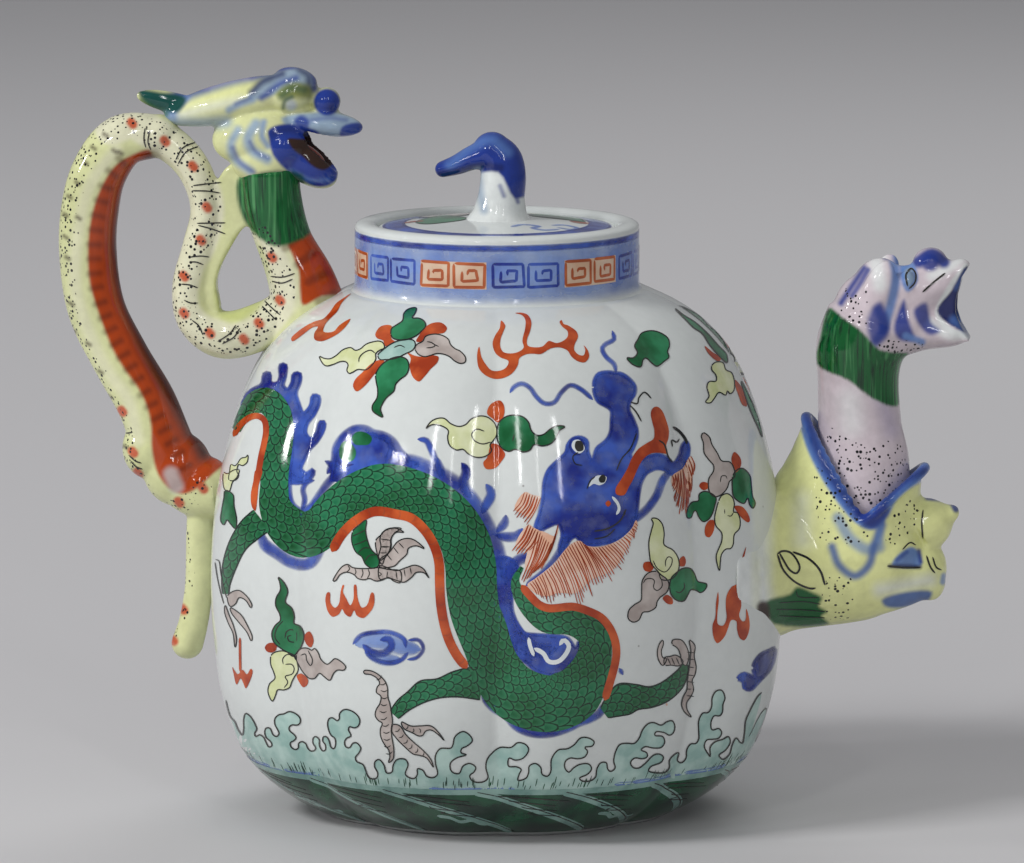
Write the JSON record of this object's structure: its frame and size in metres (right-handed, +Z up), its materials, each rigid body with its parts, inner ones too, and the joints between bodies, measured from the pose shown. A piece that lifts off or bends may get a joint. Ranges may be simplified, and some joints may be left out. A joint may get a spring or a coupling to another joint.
{
  "type": "porcelain teapot",
  "caption": "Lobed porcelain teapot with a lift-off lid, a spout of two beasts' heads and a coiled serpent handle, painted with a dragon among clouds and waves.",
  "frame": {"origin": "on the pot's upright axis, at the underside of the foot, where the pot stands", "axes": "+Z up, +X towards the spout, -X towards the handle, and Y across the pot"},
  "size_m": [0.2201, 0.1378, 0.1778],
  "materials": {
    "white_glaze": "cool white porcelain under a clear glossy glaze",
    "underglaze_blue": "cobalt blue painted on the clay, soft at its edges, under a clear glossy glaze",
    "yellow_glaze": "pale yellow-green enamel with black and orange spots, glossy",
    "pink_glaze": "pale pink-grey enamel with fine black spots, glossy",
    "green_enamel": "deep green enamel over black drawing, slightly raised, glossy",
    "red_enamel": "iron red enamel, thinly brushed, glossy"
  },
  "bodies": {
    "pot": {"body_shell": "white_glaze", "body_shoulder": "white_glaze", "neck_collar": "white_glaze", "spout_root": "yellow_glaze", "spout_nose": "yellow_glaze", "spout_brow": "yellow_glaze", "spout_neck": "pink_glaze", "spout_head": "pink_glaze", "spout_nostril": "underglaze_blue", "spout_horn_left": "underglaze_blue", "spout_horn_right": "underglaze_blue", "handle_neck": "yellow_glaze", "handle_loop": "yellow_glaze", "handle_web": "yellow_glaze", "handle_arc": "yellow_glaze", "handle_tail": "yellow_glaze", "handle_head": "yellow_glaze", "handle_jaw": "underglaze_blue", "handle_tongue": "red_enamel", "handle_nose": "underglaze_blue", "handle_brow": "underglaze_blue", "handle_crest": "green_enamel"},
    "lid": {"lid_plate": "white_glaze", "lid_flange": "white_glaze", "lid_knob": "underglaze_blue"}
  },
  "joints": [
    {"name": "lid_lift", "type": "slide", "parent": "pot", "child": "lid", "axis": [0, 0, 1], "range_m": [0, 0.06]}
  ]
}
